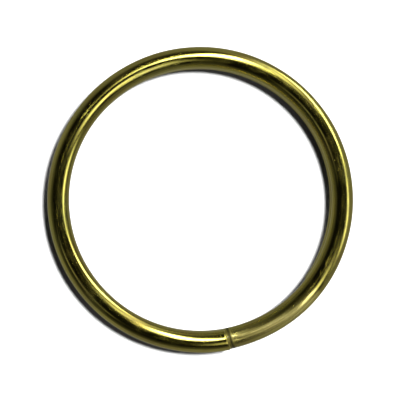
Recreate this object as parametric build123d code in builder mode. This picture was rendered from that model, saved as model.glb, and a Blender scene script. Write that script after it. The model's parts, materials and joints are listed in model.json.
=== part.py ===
from build123d import *
import math
import os

# Split key ring: one round brass-finished wire, wound twice round and pressed flat.
#
# The ring lies flat with its axis along +Z.  The wire climbs anticlockwise seen from above:
# lower free end, lower coil, crossover, upper coil, upper free end.  It is a single wire;
# the stretches below meet at plain cross-sections, which is where the wire twists when
# the ring is prised open.

# ---------------------------------------------------------------- driving dimensions (mm, degrees)
OUTSIDE_DIAMETER = 32.0
WIRE_DIAMETER = 2.25
COIL_GAP = 0.05  # what the spring leaves open between the two pressed coils
UPPER_END_ANGLE = 281.0  # where the top coil stops, anticlockwise from +X
CROSSOVER_SPAN = 42.0  # arc over which the wire climbs from the lower coil to the upper
STRETCHES_PER_COIL = 6
END_CUT_SKEW = 8.0  # the shears leave each end this far off a square cut
END_CUT_LEAN = 4.0  # and leaning back this much from upright
END_ROUNDING = 0.14  # tumbled edge of a cut end

# ---------------------------------------------------------------- worked out from them
WIRE_RADIUS = WIRE_DIAMETER / 2
COIL_RADIUS = OUTSIDE_DIAMETER / 2 - WIRE_RADIUS
LEVEL = (WIRE_DIAMETER + COIL_GAP) / 2  # height of each coil's wire centre above or below the middle
COIL_SPAN = 360.0 - CROSSOVER_SPAN
STRETCH_SPAN = COIL_SPAN / STRETCHES_PER_COIL
COIL_START = UPPER_END_ANGLE + CROSSOVER_SPAN  # both coils set off from here, anticlockwise
CUT_ALLOWANCE = 2.0  # extra arc given to an end before it is sheared to length
CLIMB_DEGREE = 5  # a quintic curve has just enough freedom to match both coils


def outward(angle):
    """Direction from the ring's axis to the wire at this angle."""
    return Vector(math.cos(math.radians(angle)), math.sin(math.radians(angle)), 0)


def along(angle):
    """Direction in which the wire runs at this angle, anticlockwise."""
    return Vector(-math.sin(math.radians(angle)), math.cos(math.radians(angle)), 0)


def cross_section(angle):
    """Plane through the ring's axis that cuts the wire square at this angle."""
    return Plane(origin=(0, 0, 0), x_dir=outward(angle), z_dir=along(angle) * -1)


def cut_plane(angle, level, facing):
    """Plane of a sheared end; its normal points out of the wire, `facing` +1 or -1 along it."""
    centre = outward(angle) * COIL_RADIUS + Vector(0, 0, level)
    skew = math.tan(math.radians(END_CUT_SKEW))
    lean = math.tan(math.radians(END_CUT_LEAN))
    normal = along(angle) * facing - outward(angle) * skew + Vector(0, 0, facing * lean)
    return Plane(origin=centre, z_dir=normal)


def climbing_controls():
    """Control points of the climb, which leaves each coil level and curved just as the coil is."""
    turn = math.radians(CROSSOVER_SPAN)
    reach = COIL_RADIUS * turn / CLIMB_DEGREE
    dip = COIL_RADIUS * turn**2 / (CLIMB_DEGREE * (CLIMB_DEGREE - 1))
    controls = []
    for angle, height, forward in ((UPPER_END_ANGLE, -LEVEL, 1), (COIL_START, LEVEL, -1)):
        end = outward(angle) * COIL_RADIUS + Vector(0, 0, height)
        step = along(angle) * reach * forward
        bend = outward(angle) * dip
        controls += [end, end + step, end + step * 2 - bend][::forward]
    return controls


def coil_stretch(start, span, level):
    """One stretch of a coil: an arc of the round wire lying level."""
    with BuildPart() as stretch:
        with BuildSketch(cross_section(start)):
            with Locations((COIL_RADIUS, level)):
                Circle(WIRE_RADIUS)
        revolve(axis=Axis.Z, revolution_arc=span)
    return stretch


def end_stretch(start, span, level, end_angle, facing):
    """The last stretch of a coil, sheared to length and tumbled smooth at the rim."""
    first = start if facing > 0 else start - CUT_ALLOWANCE
    shears = cut_plane(end_angle, level, facing)
    with BuildPart() as stretch:
        with BuildSketch(cross_section(first)):
            with Locations((COIL_RADIUS, level)):
                Circle(WIRE_RADIUS)
        revolve(axis=Axis.Z, revolution_arc=span + CUT_ALLOWANCE)
        split(bisect_by=shears, keep=Keep.BOTTOM)
        cut_face = stretch.faces().sort_by_distance(shears.origin)[0]
        fillet(cut_face.edges(), radius=END_ROUNDING)
    return stretch


def finish(node, name):
    """Name a finished stretch and write it out."""
    node.part.label = name
    export_step(node.part, f"parts/{name}.step")


os.makedirs("parts", exist_ok=True)

# ---------------------------------------------------------------- lower coil, from its free end
lower_end = end_stretch(COIL_START, STRETCH_SPAN, -LEVEL, COIL_START, -1)
finish(lower_end, "lower_free_end")

for number in range(2, STRETCHES_PER_COIL + 1):
    start = COIL_START + (number - 1) * STRETCH_SPAN
    finish(coil_stretch(start, STRETCH_SPAN, -LEVEL), f"lower_coil_{number}")

# ---------------------------------------------------------------- crossover, climbing one wire
with BuildPart() as crossover:
    with BuildLine() as climbing_line:
        Bezier(*climbing_controls())
    with BuildSketch(cross_section(UPPER_END_ANGLE)):
        with Locations((COIL_RADIUS, -LEVEL)):
            Circle(WIRE_RADIUS)
    sweep(path=climbing_line.line)
finish(crossover, "crossover")

# ---------------------------------------------------------------- upper coil, to its free end
for number in range(1, STRETCHES_PER_COIL):
    start = COIL_START + (number - 1) * STRETCH_SPAN
    finish(coil_stretch(start, STRETCH_SPAN, LEVEL), f"upper_coil_{number}")

last_start = COIL_START + COIL_SPAN - STRETCH_SPAN
upper_end = end_stretch(last_start, STRETCH_SPAN, LEVEL, UPPER_END_ANGLE, 1)
finish(upper_end, "upper_free_end")
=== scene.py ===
import json
import math

import bpy
import numpy as np
from mathutils import Matrix, Vector


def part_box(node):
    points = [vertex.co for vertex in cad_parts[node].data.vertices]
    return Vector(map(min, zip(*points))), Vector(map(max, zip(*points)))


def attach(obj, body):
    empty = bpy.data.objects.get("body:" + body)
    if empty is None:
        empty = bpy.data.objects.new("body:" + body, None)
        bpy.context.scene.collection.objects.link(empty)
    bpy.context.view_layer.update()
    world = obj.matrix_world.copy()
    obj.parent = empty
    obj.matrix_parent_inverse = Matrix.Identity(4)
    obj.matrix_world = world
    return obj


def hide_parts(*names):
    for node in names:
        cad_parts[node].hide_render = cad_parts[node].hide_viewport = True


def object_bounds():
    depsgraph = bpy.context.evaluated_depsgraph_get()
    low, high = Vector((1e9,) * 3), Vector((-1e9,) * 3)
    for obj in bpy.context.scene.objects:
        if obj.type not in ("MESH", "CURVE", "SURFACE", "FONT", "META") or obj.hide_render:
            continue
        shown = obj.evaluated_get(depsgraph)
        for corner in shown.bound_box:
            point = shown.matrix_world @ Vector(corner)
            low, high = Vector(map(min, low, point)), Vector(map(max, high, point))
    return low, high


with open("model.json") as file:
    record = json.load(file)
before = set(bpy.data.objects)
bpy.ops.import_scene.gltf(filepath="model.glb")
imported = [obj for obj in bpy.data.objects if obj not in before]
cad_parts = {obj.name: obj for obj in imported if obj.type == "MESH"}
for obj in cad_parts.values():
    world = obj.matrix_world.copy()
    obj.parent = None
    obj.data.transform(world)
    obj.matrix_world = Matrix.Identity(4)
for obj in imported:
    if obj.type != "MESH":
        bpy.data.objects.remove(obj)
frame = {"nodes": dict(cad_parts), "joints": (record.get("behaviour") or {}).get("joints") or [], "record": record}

CAD_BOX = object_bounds()

# Split key ring: one round wire with an antique-brass finish, wound twice round.
# Lengths on the wire are in millimetres, and MM turns them into Blender's metres.  Angles along the
# wire are in degrees, anticlockwise seen from above, and keep counting up from the lower free end,
# through the crossover, to the upper free end.
MM = 0.001

# ------------------------------------------------------------------ sizes read from the frame
low_corner, high_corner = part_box("upper_coil_3")
WIRE_RADIUS = (high_corner.z - low_corner.z) / 2 / MM
LEVEL = (high_corner.z + low_corner.z) / 2 / MM
JOINTS = {joint["name"]: joint for joint in frame["joints"]}
COIL_RADIUS = math.hypot(*JOINTS["upper_end_opens"]["pos_m"][:2]) / MM
MOUNTS = {mount["name"]: mount for mount in frame["record"]["mounts"]}


def turned_from_x(point):
    """Angle of a point round the ring's axis, in degrees from 0 to 360."""
    return math.degrees(math.atan2(point[1], point[0])) % 360


UPPER_END = turned_from_x(MOUNTS["upper_end_entry"]["pos_m"])
LOWER_END = turned_from_x(MOUNTS["lower_end_entry"]["pos_m"])
CLIMB_SPAN = LOWER_END - UPPER_END
COIL_SPAN = 360.0 - CLIMB_SPAN
STRETCHES = 6  # in each coil
STRETCH_SPAN = COIL_SPAN / STRETCHES
CLIMB_START = LOWER_END + COIL_SPAN
UPPER_START = CLIMB_START + CLIMB_SPAN
WIRE_FINISH = UPPER_START + COIL_SPAN

# ------------------------------------------------------------------ marks of a real wire
CUT_SKEW = math.tan(math.radians(8.0))  # each end is sheared a little off square
CUT_LEAN = math.tan(math.radians(4.0))
RIM = 0.14  # tumbled rounding of the cut ends
TORN_DEPTH = 0.02  # hollow where the last of each cut tore instead of shearing
SHEAR_MARKS = ((0.004, (7, 0, 19)), (0.003, (0, 31, 0)))  # height, then direction and fineness
SPRING_OUT = 0.07  # how far the free ends stand out from the coils
SPRING_SPAN = 16.0  # arc over which they do so

RNG = np.random.RandomState(11)
WANDER_SIZES = ((1, 0.035), (2, 0.03), (3, 0.018), (5, 0.007))
# Slow drift of the coils' radius: waves in two turns, phase, size.
WANDER = [(waves, RNG.uniform(0, 2 * math.pi), size) for waves, size in WANDER_SIZES]
# Unevenness left by drawing: rate along the wire, lobes round it, phase, size.
RIPPLES = [
    (RNG.uniform(0.3, 1.6), RNG.randint(0, 4), RNG.uniform(0, 2 * math.pi), RNG.uniform(0.0004, 0.0011))
    for _ in range(14)
]

# ------------------------------------------------------------------ patina, wear, painted shade and painted sheen
GROOVE_DEPTH = 0.7  # how quickly the dark of the groove between the coils fades outwards
GROOVE_FADE = 2.0  # degrees over which it fades where the climb leaves the coils
CORNER_SHADE_OFFSET = 0.27  # place of the painted shade line beyond each cut end
CORNER_SHADE_WIDTH = 0.24
CORNER_SHADE_REACH = 2.8
OUTER_RUB = 0.7  # polish on the outer side
FACE_RUB = 0.6  # polish on the flat faces
WEAR_SHEEN_START = -0.12  # middle of the band of wear and painted sheen at a cut end, in wire radii outward
WEAR_SHEEN_DRIFT = 0.6  # how much farther out it lies by the end of the climb
WEAR_SHEEN_WIDTH = 0.45

# ------------------------------------------------------------------ fineness of the meshes
AROUND = 96  # facets round the wire
STEP = 0.2  # length of a facet along the wire
RIM_STEPS = 6
FACE_RINGS = 10
SEARCH = 4.0  # degrees either side of an end in which its cut plane meets the skin
SEARCH_STEPS = 40
ANGLE_NUDGE = 0.02  # degrees along the wire over which the skin's slope is taken
AROUND_NUDGE = 0.002  # radians round it


# ------------------------------------------------------------------ shape of the wire
def climb(share):
    """Smooth step from 0 to 1, level and uncurved at both ends."""
    share = np.clip(share, 0, 1)
    return share**3 * (10 - 15 * share + 6 * share**2)


def climb_rate(share):
    """Slope of the smooth step."""
    share = np.clip(share, 0, 1)
    return 30 * share**2 * (1 - share) ** 2


def centre_line(angle):
    """Distance from the axis and height of the wire's centre, with a real coil's slight wander."""
    height = LEVEL * (2 * climb((angle - CLIMB_START) / CLIMB_SPAN) - 1)
    radius = COIL_RADIUS
    for waves, phase, size in WANDER:
        radius = radius + size * np.sin(np.radians(angle) * waves / 2 + phase)
    for free_end in (WIRE_FINISH, LOWER_END):
        radius = radius + SPRING_OUT * np.exp(-(((angle - free_end) / SPRING_SPAN) ** 2))
    return radius, height


def surface(angle, around):
    """Points of the drawn wire's skin; around is 0 outward and a quarter turn upward."""
    turn = np.radians(angle)
    radius, height = centre_line(angle)
    slope = 2 * LEVEL * climb_rate((angle - CLIMB_START) / CLIMB_SPAN) / math.radians(CLIMB_SPAN)
    run = np.sqrt(radius**2 + slope**2)
    thick = WIRE_RADIUS
    for rate, lobes, phase, size in RIPPLES:
        thick = thick + size * np.sin(turn * COIL_RADIUS * rate + lobes * around + phase)
    up = np.array([0, 0, 1.0])
    outward = np.stack([np.cos(turn), np.sin(turn), 0 * turn], -1)
    forward = np.stack([-np.sin(turn), np.cos(turn), 0 * turn], -1)
    upward = (up * radius[..., None] - forward * slope[..., None]) / run[..., None]
    centre = outward * radius[..., None] + up * height[..., None]
    ring = outward * np.cos(around)[..., None] + upward * np.sin(around)[..., None]
    return centre + ring * thick[..., None]


def skin_normals(angle, around):
    """Outward normals of the skin, from small steps along and around it."""
    along = surface(angle + ANGLE_NUDGE, around) - surface(angle - ANGLE_NUDGE, around)
    across = surface(angle, around + AROUND_NUDGE) - surface(angle, around - AROUND_NUDGE)
    normal = np.cross(along, across)
    return normal / np.linalg.norm(normal, axis=-1, keepdims=True)


def plain_end(angle, facing):
    """Direction out of the wire at a plain cross-section; facing is +1 or -1 along it."""
    turn = math.radians(angle)
    return np.array([-math.sin(turn), math.cos(turn), 0]) * facing


def cut_plane(angle, facing):
    """Point and outward normal of a sheared end."""
    turn = math.radians(angle)
    outward = np.array([math.cos(turn), math.sin(turn), 0])
    radius, height = centre_line(np.array(float(angle)))
    centre = outward * radius + np.array([0, 0, float(height)])
    normal = plain_end(angle, facing) - outward * CUT_SKEW + np.array([0, 0, facing * CUT_LEAN])
    return centre, normal / np.linalg.norm(normal)


def meet_plane(around, plane, guess):
    """Angle at which each line of the skin comes within the rim's rounding of a sheared end."""
    point, normal = plane
    low = np.full_like(around, guess - SEARCH)
    high = np.full_like(around, guess + SEARCH)
    rising = (surface(high, around) - point) @ normal > (surface(low, around) - point) @ normal
    for _ in range(SEARCH_STEPS):
        middle = (low + high) / 2
        past = (surface(middle, around) - point) @ normal + RIM > 0
        low = np.where(past == rising, low, middle)
        high = np.where(past == rising, middle, high)
    return (low + high) / 2


# ------------------------------------------------------------------ rings of the wire's mesh
# A ring is its points, their normals, their places on the straightened wire, and how much each
# belongs to a sheared face, from 0 to 1.
def skin_rings(around, first, last, count):
    """Rings of the wire's skin, from the angles in first to those in last."""
    rings = []
    for k in range(count + 1):
        angle = first + (last - first) * k / count
        length = np.radians(angle) * COIL_RADIUS
        place = np.stack([length, WIRE_RADIUS * np.cos(around), WIRE_RADIUS * np.sin(around)], -1)
        rings.append((surface(angle, around), skin_normals(angle, around), place, np.zeros(AROUND)))
    return rings


def rim_rings(plane, edge_ring):
    """Rings that round the skin over into the plane of a sheared face."""
    point, normal = plane
    edge, edge_normal, place, _ = edge_ring
    inward = edge - edge_normal * RIM
    on_plane = inward - ((inward - point) @ normal)[:, None] * normal
    corner = edge - ((edge - point) @ normal)[:, None] * normal
    rings = []
    for k in range(1, RIM_STEPS + 1):
        t = k / RIM_STEPS
        w0, w1, w2 = (1 - t) ** 2, 2 * t * (1 - t) * math.sqrt(0.5), t**2  # weights of a round quarter
        row = (edge * w0 + corner * w1 + on_plane * w2) / (w0 + w1 + w2)
        lean = math.pi / 2 * t
        tilt = edge_normal * math.cos(lean) + normal * math.sin(lean)
        tilt /= np.linalg.norm(tilt, axis=1, keepdims=True)
        rings.append((row, tilt, place, np.full(AROUND, t**2)))
    return rings


def face_rings(plane, border_ring):
    """Rings across a sheared face to near its middle, with the marks the shears left."""
    normal = plane[1]
    border, _, place, _ = border_ring
    middle = border.mean(0)
    rings = []
    for k in range(1, FACE_RINGS):
        keep = 1 - k / FACE_RINGS
        row = middle + (border - middle) * keep
        across = (row - middle) / WIRE_RADIUS
        torn = np.clip(across[:, 2] * 1.2 + 0.2, 0, 1)
        relief = sum(height * np.sin(across @ fineness) for height, fineness in SHEAR_MARKS)
        relief = (relief - TORN_DEPTH * torn) * min(1, 3 * (1 - keep))
        row = row + normal * relief[:, None]
        rings.append((row, np.tile(normal, (AROUND, 1)), place * [1, keep, keep], np.ones(AROUND)))
    return rings


def stretch_mesh(name, start, finish, cut_start, cut_finish):
    """One stretch of the wire as a closed mesh, with rounded rims and worked faces on its cut ends."""
    around = np.arange(AROUND) * 2 * math.pi / AROUND
    first = np.full(AROUND, float(start))
    last = np.full(AROUND, float(finish))
    ends = [plain_end(start, -1), plain_end(finish, 1)]
    if cut_start:
        start_plane = cut_plane(start, -1)
        first = meet_plane(around, start_plane, start)
        ends[0] = start_plane[1]
    if cut_finish:
        finish_plane = cut_plane(finish, 1)
        last = meet_plane(around, finish_plane, finish)
        ends[1] = finish_plane[1]
    count = int(math.ceil(math.radians(finish - start) * COIL_RADIUS / STEP))
    rings = skin_rings(around, first, last, count)
    if cut_start:
        rim = rim_rings(start_plane, rings[0])
        rings = (rim + face_rings(start_plane, rim[-1]))[::-1] + rings
    if cut_finish:
        rings += rim_rings(finish_plane, rings[-1])
        rings += face_rings(finish_plane, rings[-1])
    return closed_mesh(name, rings, ends)


def closed_mesh(name, rings, ends):
    """Joins rings into one closed mesh, with exact normals and the values its material reads."""
    points, normals, places, cut = (np.concatenate(values) for values in zip(*rings))
    last_row = (len(rings) - 1) * AROUND
    faces = []
    for row in range(0, last_row, AROUND):
        for i in range(AROUND):
            j = (i + 1) % AROUND
            faces.append((row + i, row + AROUND + i, row + AROUND + j, row + j))
    tube_corners = 4 * len(faces)
    for row, end in ((0, ends[0]), (last_row, ends[1])):
        hub = len(points)
        points = np.vstack([points, points[row : row + AROUND].mean(0)])
        normals = np.vstack([normals, end])
        places = np.vstack([places, places[row] * [1, 0, 0]])
        cut = np.append(cut, 1.0)
        for i in range(AROUND):
            j = (i + 1) % AROUND
            faces.append((row + i, row + j, hub) if row == 0 else (row + j, row + i, hub))
    mesh = bpy.data.meshes.new(name)
    mesh.from_pydata((points * MM).tolist(), [], faces)
    mesh.polygons.foreach_set("use_smooth", [True] * len(faces))
    owners = np.zeros(len(mesh.loops), np.int32)
    mesh.loops.foreach_get("vertex_index", owners)
    corner_normals = normals[owners]
    corner_normals[tube_corners : tube_corners + 3 * AROUND] = ends[0]
    corner_normals[tube_corners + 3 * AROUND :] = ends[1]
    mesh.normals_split_custom_set(corner_normals.tolist())
    wire_place = mesh.attributes.new("wire_coord", "FLOAT_VECTOR", "POINT")
    wire_place.data.foreach_set("vector", places.astype(np.float32).ravel())
    shades = {
        "cut": cut,
        "crevice": crevice(points, places),
        "rub": rub(points),
        # the corner line is painted shade; the worn band is wear and also a painted sheen
        "painted_corner_shade": painted_corner_shade(points, places),
        "wear_sheen_band": wear_sheen_band(places),
    }
    for label, values in shades.items():
        shade = mesh.attributes.new(label, "FLOAT", "POINT")
        shade.data.foreach_set("value", values.astype(np.float32))
    return mesh


# ------------------------------------------------------------------ where patina, wear, painted shade and painted sheen lie
def crevice(points, places):
    """How deep a point sits in the groove between the coils: 0 in the open, 1 where they touch."""
    off_line = np.abs(np.hypot(points[:, 0], points[:, 1]) - COIL_RADIUS) / WIRE_RADIUS
    gap = 2 * np.abs(points[:, 2])
    angle = np.degrees(places[:, 0] / COIL_RADIUS)
    beyond_climb = np.abs(angle - CLIMB_START - CLIMB_SPAN / 2) - CLIMB_SPAN / 2
    covered = np.clip(beyond_climb / GROOVE_FADE + 0.5, 0, 1)
    return np.exp(-gap / GROOVE_DEPTH) * np.clip(1 - off_line**3, 0, 1) * covered


def painted_corner_shade(points, places):
    """Painted shade: a dark line on the climbing wire, in the corner it makes with each cut end, where shadow
    falls.
    """
    line = np.zeros(len(points))
    for angle, facing in ((WIRE_FINISH, 1), (LOWER_END, -1)):
        centre, normal = cut_plane(angle, facing)
        beyond = (points - centre) @ normal
        near = np.linalg.norm((points - centre)[:, :2], axis=1) < CORNER_SHADE_REACH
        facing_side = np.clip(0.5 + 2 * facing * places[:, 2] / WIRE_RADIUS, 0, 1)
        spread = np.exp(-(((beyond - CORNER_SHADE_OFFSET) / CORNER_SHADE_WIDTH) ** 2))
        line += spread * near * facing_side * (beyond > 0)
    return line


def rub(points):
    """How much pockets and keys polish a point: most on the outer equator and the flat faces."""
    radius = np.hypot(points[:, 0], points[:, 1])
    outer = np.clip((radius - COIL_RADIUS) / WIRE_RADIUS, 0, 1) ** 2
    face = np.clip(np.abs(points[:, 2]) / (LEVEL + WIRE_RADIUS), 0, 1) ** 6
    return np.clip(OUTER_RUB * outer + FACE_RUB * face, 0, 1)


def wear_sheen_band(places):
    """Where key eyes sliding over the climb have worn it, painted bright as a sheen that stands in for the
    highlight: a band on both flat faces, crossing outward.
    """
    share = (np.degrees(places[:, 0] / COIL_RADIUS) - CLIMB_START) / CLIMB_SPAN
    share = np.clip(share, 0, 1)
    travel = np.where(places[:, 2] > 0, share, 1 - share)
    off_band = places[:, 1] / WIRE_RADIUS - (WEAR_SHEEN_START + WEAR_SHEEN_DRIFT * travel)
    return np.sqrt(4 * share * (1 - share)) * np.exp(-((off_band / WEAR_SHEEN_WIDTH) ** 2))


# ------------------------------------------------------------------ material helpers
def feed(tree, value, target):
    """Links a socket to an input, or sets the input's value."""
    if isinstance(value, bpy.types.NodeSocket):
        tree.links.new(value, target)
    else:
        target.default_value = value


def add(tree, kind, inputs=None, **settings):
    """Adds a node, with its settings and inputs."""
    node = tree.nodes.new(kind)
    for key, value in settings.items():
        setattr(node, key, value)
    for key, value in (inputs or {}).items():
        feed(tree, value, node.inputs[key])
    return node


def maths(tree, operation, a, b=0.0, clamp=False):
    """Result of one sum."""
    return add(tree, "ShaderNodeMath", {0: a, 1: b}, operation=operation, use_clamp=clamp).outputs[0]


def less(tree, value):
    """One less a value, kept between 0 and 1."""
    return maths(tree, "SUBTRACT", 1.0, value, clamp=True)


def heaped(tree, base, *layers):
    """A base with each layer's value times its weight added."""
    for value, weight in layers:
        base = maths(tree, "ADD", base, maths(tree, "MULTIPLY", value, weight))
    return base


def strongest(tree, *layers):
    """The largest of the layers' values times their weights."""
    top = 0.0
    for value, weight in layers:
        top = maths(tree, "MAXIMUM", top, maths(tree, "MULTIPLY", value, weight))
    return top


def remap(tree, value, low, high, to_low=0.0, to_high=1.0):
    """Smooth change from one value to another as the input goes from low to high."""
    inputs = {"Value": value, "From Min": low, "From Max": high, "To Min": to_low, "To Max": to_high}
    return add(tree, "ShaderNodeMapRange", inputs, interpolation_type="SMOOTHSTEP").outputs[0]


def mixed(tree, share, a, b):
    """Colour a, turning into colour b as the share goes from 0 to 1."""
    node = add(tree, "ShaderNodeMix", data_type="RGBA")
    for label, value in (("Factor", share), ("A", a), ("B", b)):
        feed(tree, value, node.inputs[label])
    return node.outputs["Result"]


def noise(tree, vector, stretch=(1, 1, 1), turn=(0, 0, 0), scale=1.0, detail=3.0, rough=0.5, warp=0.0):
    """Noise on a vector that has been stretched and turned."""
    placed = add(tree, "ShaderNodeMapping", {"Vector": vector, "Scale": stretch, "Rotation": turn})
    inputs = {
        "Vector": placed.outputs[0],
        "Scale": scale,
        "Detail": detail,
        "Roughness": rough,
        "Distortion": warp,
    }
    return add(tree, "ShaderNodeTexNoise", inputs).outputs["Fac"]


def attribute(tree, name, output="Fac"):
    """A value kept on the mesh."""
    return add(tree, "ShaderNodeAttribute", attribute_name=name).outputs[output]


def fresh_material(name):
    """An empty material and its node tree."""
    material = bpy.data.materials.new(name)
    material.use_nodes = True
    material.node_tree.nodes.clear()
    return material, material.node_tree


# ------------------------------------------------------------------ antique brass
DULL_GOLD = (0.35, 0.31, 0.045, 1)
RUBBED_GOLD = (0.44, 0.39, 0.075, 1)
DRAW_LINE = (0.20, 0.17, 0.022, 1)
GREEN_TARNISH = (0.24, 0.25, 0.055, 1)
BROWN_TARNISH = (0.27, 0.195, 0.035, 1)
# bare brass of the worn band, also painted bright as a sheen in place of a highlight
BARE_BRASS_SHEEN = (0.96, 0.83, 0.28, 1)
PATINA = (0.055, 0.042, 0.014, 1)
# near-black painted shade for the corner line beyond each cut end
CORNER_SHADE = (0.012, 0.010, 0.005, 1)
SHEARED_PALE = (0.44, 0.40, 0.15, 1)
SHEARED_DARK = (0.2, 0.17, 0.05, 1)
EDGE_TINT = (0.95, 0.90, 0.50, 1)
ROUGHNESS = 0.075  # of clean polished wire
LACQUER = 0.5  # clear coat over everything but the cut faces and the painted corner shade
LACQUER_ROUGHNESS = 0.06
RELIEF = 0.005 * MM  # height of the finest marks
NICK_RUNS = (((0.4, 0.2, 0.9), 1.0), ((1.1, 0.7, -0.6), 0.8), ((-0.5, 1.3, 0.3), 1.3))  # turn, scale


def nick_lines(tree, wire, cloud):
    """Hairline scratches in a few directions, gathered in patches."""
    nicks = 0.0
    for turn, scale in NICK_RUNS:
        lines = noise(tree, wire, (0.35, 9.0, 9.0), turn, scale=scale, detail=1.0)
        off_line = maths(tree, "ABSOLUTE", maths(tree, "SUBTRACT", lines, 0.62))
        nicks = maths(tree, "MAXIMUM", nicks, remap(tree, off_line, 0.0, 0.012, 1.0, 0.0))
    return maths(tree, "MULTIPLY", nicks, remap(tree, cloud, 0.42, 0.62))


def antique_brass():
    """Drawn wire with an antique-brass finish: draw lines, patina in the groove, rubbed high spots, a worn band
    painted bright as a sheen, and a painted shade line by each cut end.
    """
    material, tree = fresh_material("antique_brass")
    wire = attribute(tree, "wire_coord", "Vector")
    # corner carries the painted shade line beyond each cut end
    groove, rubbed, cut, corner = (attribute(tree, name) for name in ("crevice", "rub", "cut", "painted_corner_shade"))

    draw_lines = noise(tree, wire, (0.10, 6.0, 6.0), detail=5.0, rough=0.6)
    fine_lines = noise(tree, wire, (0.45, 24.0, 24.0), detail=2.0)
    mottle = noise(tree, wire, (0.35, 0.9, 0.9), detail=6.0, rough=0.6, warp=0.4)
    cloud = noise(tree, wire, scale=0.16)
    tarnish = noise(tree, wire, (0.22, 0.7, 0.7), (0.3, 0.0, 0.0), detail=4.0, rough=0.6, warp=0.6)
    grit = noise(tree, wire, scale=9.0, detail=2.0)
    nicks = nick_lines(tree, wire, cloud)
    pits = remap(tree, grit, 0.70, 0.76)
    scuffs = remap(tree, draw_lines, 0.42, 0.6, 0.7, 1.0)
    # wear on the climb, which is also a painted sheen standing in for the highlight
    wear_and_sheen = maths(tree, "MULTIPLY", attribute(tree, "wear_sheen_band"), scuffs)
    dark = strongest(tree, (remap(tree, mottle, 0.50, 0.72), 0.32), (groove, 0.9), (pits, 0.5))

    polish = maths(tree, "MULTIPLY", rubbed, remap(tree, mottle, 0.35, 0.65, 0.4, 1.0))
    colour = mixed(tree, polish, DULL_GOLD, RUBBED_GOLD)
    colour = mixed(tree, remap(tree, draw_lines, 0.4, 0.7, 0.0, 0.5), colour, DRAW_LINE)
    colour = mixed(tree, remap(tree, cloud, 0.45, 0.7, 0.0, 0.5), colour, GREEN_TARNISH)
    colour = mixed(tree, remap(tree, tarnish, 0.45, 0.7, 0.0, 0.55), colour, BROWN_TARNISH)
    # the worn band, painted as bright bare brass: wear and a painted sheen
    colour = mixed(tree, maths(tree, "MULTIPLY", wear_and_sheen, 0.95), colour, BARE_BRASS_SHEEN)
    colour = mixed(tree, dark, colour, PATINA)
    # painted shade: near-black in the corner beyond each cut end
    colour = mixed(tree, corner, colour, CORNER_SHADE)
    sheared = mixed(tree, remap(tree, grit, 0.3, 0.7), SHEARED_PALE, SHEARED_DARK)
    colour = mixed(tree, cut, colour, sheared)

    rough = heaped(
        tree,
        ROUGHNESS,
        (remap(tree, mottle, 0.3, 0.75), 0.07),
        (remap(tree, draw_lines, 0.3, 0.7), 0.05),
        (nicks, 0.12),
        (groove, 0.35),
        (cut, 0.18),
        (wear_and_sheen, 0.14),
        (corner, 0.4),
    )
    rough_cut = maths(tree, "MULTIPLY", cut, grit)
    marks = ((draw_lines, 0.8), (fine_lines, 0.2), (nicks, -0.5), (pits, -0.8), (rough_cut, 3.0))
    relief = heaped(tree, 0.0, *marks)
    bump = add(tree, "ShaderNodeBump", {"Height": relief, "Strength": 1.0, "Distance": RELIEF})
    # the painted corner shade also loses its metal, specular and coat, so it stays dark
    unshaded = less(tree, corner)
    metal = maths(tree, "MULTIPLY", less(tree, heaped(tree, 0.0, (dark, 0.35), (wear_and_sheen, 0.6))), unshaded)
    coated = less(tree, maths(tree, "MAXIMUM", cut, corner))

    shader = add(
        tree,
        "ShaderNodeBsdfPrincipled",
        {
            "Base Color": colour,
            "Metallic": metal,
            "Roughness": rough,
            "Normal": bump.outputs[0],
            "Specular IOR Level": maths(tree, "MULTIPLY", unshaded, 0.5),
            "Specular Tint": EDGE_TINT,
            "Coat Weight": maths(tree, "MULTIPLY", coated, LACQUER),
            "Coat Roughness": LACQUER_ROUGHNESS,
        },
    )
    add(tree, "ShaderNodeOutputMaterial", {"Surface": shader.outputs[0]})
    return material


# ------------------------------------------------------------------ the wire, stretch by stretch
def stretches():
    """CAD node, start and finish angle and cut ends of each stretch, in order along the wire."""
    for k in range(STRETCHES):
        name = "lower_free_end" if k == 0 else f"lower_coil_{k + 1}"
        yield name, LOWER_END + k * STRETCH_SPAN, LOWER_END + (k + 1) * STRETCH_SPAN, k == 0, False
    yield "crossover", CLIMB_START, UPPER_START, False, False
    for k in range(STRETCHES):
        last = k == STRETCHES - 1
        name = "upper_free_end" if last else f"upper_coil_{k + 1}"
        yield name, UPPER_START + k * STRETCH_SPAN, UPPER_START + (k + 1) * STRETCH_SPAN, False, last


BODIES = frame["record"]["behaviour"]["bodies"]
BODY_OF = {node: body for body, nodes in BODIES.items() for node in nodes}
brass = antique_brass()
for node, start, finish, cut_start, cut_finish in stretches():
    mesh = stretch_mesh(f"wire_{node}", start, finish, cut_start, cut_finish)
    mesh.materials.append(brass)
    piece = bpy.data.objects.new(f"wire_{node}", mesh)
    bpy.context.scene.collection.objects.link(piece)
    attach(piece, BODY_OF[node])
    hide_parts(node)
    frame["nodes"][node].data.materials.clear()
    frame["nodes"][node].data.materials.append(brass)

# ------------------------------------------------------------------ floor
FLOOR_SIDE = 6.0  # metres
FLOOR_DROP = 0.02 * MM  # clearance under the wire
CARD_SEEN = (0.12, 0.12, 0.1194, 1)  # the key lamp burns this out to white where it isn't shaded
CARD_REFLECTED = (0.0175, 0.0175, 0.0175, 1)  # darker in reflections, so the wire keeps its contrast
CARD_GLOW = 0.09  # the card also gives off a little light, which keeps the wire's underside readable


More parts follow.
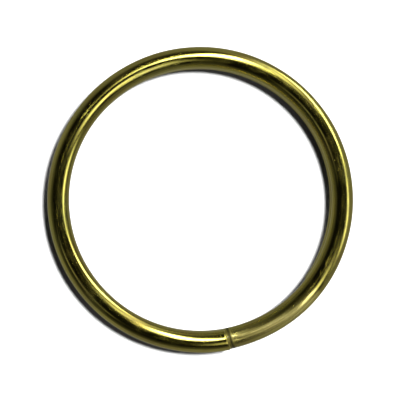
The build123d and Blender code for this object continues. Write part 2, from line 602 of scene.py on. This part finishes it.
def pale_card():
    """Smooth white card, seen only from its upper side."""
    material, tree = fresh_material("pale_card")
    seen = add(tree, "ShaderNodeLightPath").outputs["Is Camera Ray"]
    paper = add(tree, "ShaderNodeBsdfDiffuse", {"Color": mixed(tree, seen, CARD_REFLECTED, CARD_SEEN)})
    strength = maths(tree, "MULTIPLY", less(tree, seen), CARD_GLOW)
    glow = add(tree, "ShaderNodeEmission", {"Strength": strength})
    card = add(tree, "ShaderNodeAddShader", {0: paper.outputs[0], 1: glow.outputs[0]})
    clear = add(tree, "ShaderNodeBsdfTransparent")
    back = add(tree, "ShaderNodeNewGeometry").outputs["Backfacing"]
    either = add(tree, "ShaderNodeMixShader", {0: back, 1: card.outputs[0], 2: clear.outputs[0]})
    add(tree, "ShaderNodeOutputMaterial", {"Surface": either.outputs[0]})
    return material


floor_level = CAD_BOX[0].z - FLOOR_DROP
half = FLOOR_SIDE / 2
floor_corners = [(x * half, y * half, floor_level) for x, y in ((-1, -1), (1, -1), (1, 1), (-1, 1))]
floor_mesh = bpy.data.meshes.new("floor")
floor_mesh.from_pydata(floor_corners, [], [(0, 1, 2, 3)])
floor_mesh.materials.append(pale_card())
floor = bpy.data.objects.new("floor", floor_mesh)
bpy.context.scene.collection.objects.link(floor)

# ------------------------------------------------------------------ soft lamps round the wire
# Long soft lamps, most of them overhead and to the right: each from one end to the other (azimuth
# and angle from straight up, in degrees), then half its width in degrees and how bright it is.
LAMPS = [
    ((91, 16), (72, 46), 5.6, 17.0),
    ((52, 40), (60, 79), 13.0, 1.3),
    ((52, 88), (19, 63), 8.0, 6.8),
    ((6, 56), (-17, 68), 11.5, 2.3),
    ((-36, 44), (-52, 22), 8.0, 2.8),
    ((-58, 48), (-69, 30), 8.0, 1.8),
    ((200, 46), (232, 40), 8.0, 0.3),
]
END_FADE = 4.0  # power that sets how suddenly a lamp fades at its ends
SIDE_FADE = 3.0  # and at its sides
END_OVERRUN = 0.3  # how far a lamp glows past its ends, as a share of its half width
TUBE_WIDTH = 0.3  # the tube shows through each lamp's diffuser as a brighter line
TUBE_GAIN = 1.2
FRONT_FADE = 4.0  # keeps a lamp from glowing on the far side of the room
ROOM_GLOW = 0.008  # the dark ceiling
WALL_GLOW = 0.29  # paler walls, brightest at the horizon
WALL_TOP = 0.55
WINDOW_SIDE = 40.0  # azimuth of the brightest wall
WALL_CONTRAST = 0.5
LIGHT_MAP_SIZE = 1024
WHITE = (1, 1, 1, 1)


def heading(azimuth, from_up):
    """Unit vector towards an azimuth, at an angle from straight up."""
    turn, tip = math.radians(azimuth), math.radians(from_up)
    return Vector((math.sin(tip) * math.cos(turn), math.sin(tip) * math.sin(turn), math.cos(tip)))


def dot(tree, socket, vector):
    """How far a direction goes along a vector."""
    inputs = {0: socket, 1: tuple(vector)}
    return add(tree, "ShaderNodeVectorMath", inputs, operation="DOT_PRODUCT").outputs["Value"]


def faded(tree, *falls):
    """Light left after falling away; each fall is a distance and the power it is raised to."""
    total = 0.0
    for distance, power in falls:
        fall = maths(tree, "POWER", maths(tree, "ABSOLUTE", distance), power)
        total = maths(tree, "ADD", total, fall)
    return maths(tree, "EXPONENT", maths(tree, "MULTIPLY", total, -1.0))


def lamp_glow(tree, direction, one_end, other_end, half_width, bright):
    """Light arriving from one long lamp: soft at the edges, with the tube's brighter line inside."""
    first, second = heading(*one_end), heading(*other_end)
    middle = (first + second).normalized()
    lengthwise = (second - first).normalized()
    width = math.sin(math.radians(half_width))
    reach = (second - first).length / 2 + END_OVERRUN * width
    x = maths(tree, "DIVIDE", dot(tree, direction, lengthwise), reach)
    y = maths(tree, "DIVIDE", dot(tree, direction, middle.cross(lengthwise)), width)
    glow = faded(tree, (x, END_FADE), (y, SIDE_FADE))
    tube = faded(tree, (maths(tree, "DIVIDE", y, TUBE_WIDTH), 2.0))
    glow = maths(tree, "MULTIPLY", glow, heaped(tree, 1.0, (tube, TUBE_GAIN)))
    in_front = maths(tree, "MULTIPLY", dot(tree, direction, middle), FRONT_FADE, clamp=True)
    return maths(tree, "MULTIPLY", maths(tree, "MULTIPLY", glow, in_front), bright)


def studio_world():
    """A dark room with soft lamps overhead; beyond the floor the camera sees plain white."""
    world = bpy.data.worlds.new("studio")
    bpy.context.scene.world = world
    world.use_nodes = True
    tree = world.node_tree
    tree.nodes.clear()
    direction = add(tree, "ShaderNodeTexCoord").outputs["Generated"]
    glow = ROOM_GLOW
    for lamp in LAMPS:
        glow = maths(tree, "ADD", glow, lamp_glow(tree, direction, *lamp))
    up = dot(tree, direction, (0, 0, 1))
    wall_range = {"Value": up, "From Min": 0.0, "From Max": WALL_TOP, "To Min": WALL_GLOW, "To Max": 0.0}
    walls = add(tree, "ShaderNodeMapRange", wall_range).outputs[0]
    window = heaped(tree, 1.0, (dot(tree, direction, heading(WINDOW_SIDE, 90)), WALL_CONTRAST))
    glow = maths(tree, "ADD", glow, maths(tree, "MULTIPLY", walls, window))
    seen = add(tree, "ShaderNodeLightPath").outputs["Is Camera Ray"]
    lamps = add(tree, "ShaderNodeBackground", {"Color": WHITE, "Strength": glow})
    beyond = add(tree, "ShaderNodeBackground", {"Color": WHITE, "Strength": 1.0})
    both = add(tree, "ShaderNodeMixShader", {0: seen, 1: lamps.outputs[0], 2: beyond.outputs[0]})
    add(tree, "ShaderNodeOutputWorld", {"Surface": both.outputs[0]})
    world.cycles.sampling_method = "MANUAL"
    world.cycles.sample_map_resolution = LIGHT_MAP_SIZE


# ------------------------------------------------------------------ lamp on the card
KEY_FROM = (38.0, 11.5)  # azimuth and angle from straight up
KEY_SPREAD = 8.0  # degrees across, which softens the shadow's edge
KEY_STRENGTH = 45.0


def key_lamp():
    """A lamp that lights only the card, and so throws the ring's shadow on it."""
    light = bpy.data.lights.new("key", "SUN")
    light.energy = KEY_STRENGTH
    light.angle = math.radians(KEY_SPREAD)
    key = bpy.data.objects.new("key", light)
    bpy.context.scene.collection.objects.link(key)
    key.rotation_mode = "QUATERNION"
    key.rotation_quaternion = heading(*KEY_FROM).to_track_quat("Z", "Y")
    card_only = bpy.data.collections.new("card_only")
    card_only.objects.link(floor)
    key.light_linking.receiver_collection = card_only


studio_world()
key_lamp()

# ------------------------------------------------------------------ camera
CAMERA_PLACE = (-16.3 * MM, 0.5 * MM, 400.0 * MM)  # overhead, and a little to the ring's left
VIEW_WIDTH = 42.0 * MM  # what the picture takes in at the ring
SENSOR_WIDTH = 36.0

lens = bpy.data.cameras.new("camera")
camera = bpy.data.objects.new("camera", lens)
bpy.context.scene.collection.objects.link(camera)
camera.location = CAMERA_PLACE
aim = -camera.location
across = aim.cross(Vector((0, 1, 0))).normalized()
upright = across.cross(aim).normalized()
camera.rotation_mode = "QUATERNION"
camera.rotation_quaternion = Matrix((across, upright, -aim.normalized())).transposed().to_quaternion()
lens.sensor_width = SENSOR_WIDTH
lens.lens = SENSOR_WIDTH * aim.length / VIEW_WIDTH
lens.clip_start, lens.clip_end = 0.01, 20.0
bpy.context.scene.camera = camera
bpy.context.scene.view_settings.view_transform = "Standard"
